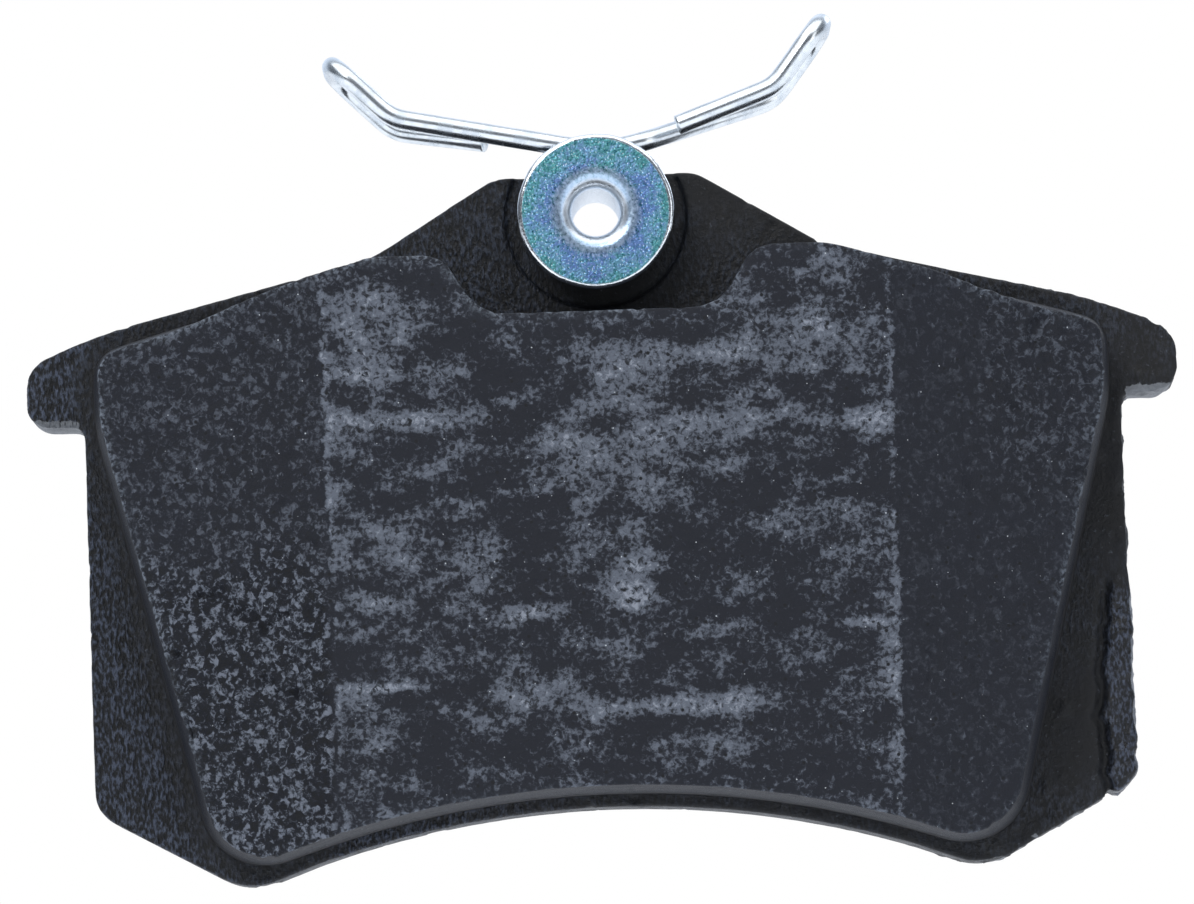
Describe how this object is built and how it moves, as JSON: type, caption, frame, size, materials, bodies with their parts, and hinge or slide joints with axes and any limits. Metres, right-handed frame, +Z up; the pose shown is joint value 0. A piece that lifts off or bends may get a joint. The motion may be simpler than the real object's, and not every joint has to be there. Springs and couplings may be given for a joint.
{
  "type": "disc brake pad",
  "caption": "Eared disc brake pad: steel backing plate with a chamfered moulded friction block, and a riveted wire spring with hairpin wings that press on the bracket.",
  "frame": {"origin": "middle of the piston face, on the outer face of the noise shim, 26.5 mm above the tips of the plate's two lower corners", "axes": "X along the pad from ear to ear, Z up from the lower corners towards the lug and its spring, Y through the thickness: the friction face looks towards -Y and the piston face towards +Y"},
  "size_m": [0.087, 0.017, 0.0645],
  "materials": {
    "black_coat": "satin black coat with orange peel on steel",
    "underlayer_mix": "matte moulded resin mix",
    "friction_mix": "matte, granular, ground flat with scuffs",
    "shim_rubber": "matte rubber skin on thin steel",
    "zinc": "blue passivated zinc, satin",
    "spring_steel": "bright drawn wire"
  },
  "bodies": {
    "pad": {"backing_plate": "black_coat", "bonding_underlayer": "underlayer_mix", "friction_lining": "friction_mix", "noise_shim": "shim_rubber", "hollow_rivet": "zinc"},
    "spring_eye": {"spring_eye": "spring_steel"},
    "spring_left_wing": {"spring_left_wing": "spring_steel"},
    "spring_right_wing": {"spring_right_wing": "spring_steel"}
  },
  "joints": [
    {"name": "spring_swivel", "type": "hinge", "parent": "pad", "child": "spring_eye", "pos_m": [0, -0.008, 0.023], "axis": [0, -1, 0], "range_deg": [-12.4, 3.6]},
    {"name": "left_wing_flex", "type": "hinge", "parent": "spring_eye", "child": "spring_left_wing", "pos_m": [-0.00618, -0.0088, 0.02901], "axis": [0, -1, 0], "range_deg": [0, 12], "stiffness_Nm_per_rad": 3},
    {"name": "right_wing_flex", "type": "hinge", "parent": "spring_eye", "child": "spring_right_wing", "pos_m": [0.00525, -0.0088, 0.02909], "axis": [0, 1, 0], "range_deg": [0, 12], "stiffness_Nm_per_rad": 3}
  ]
}
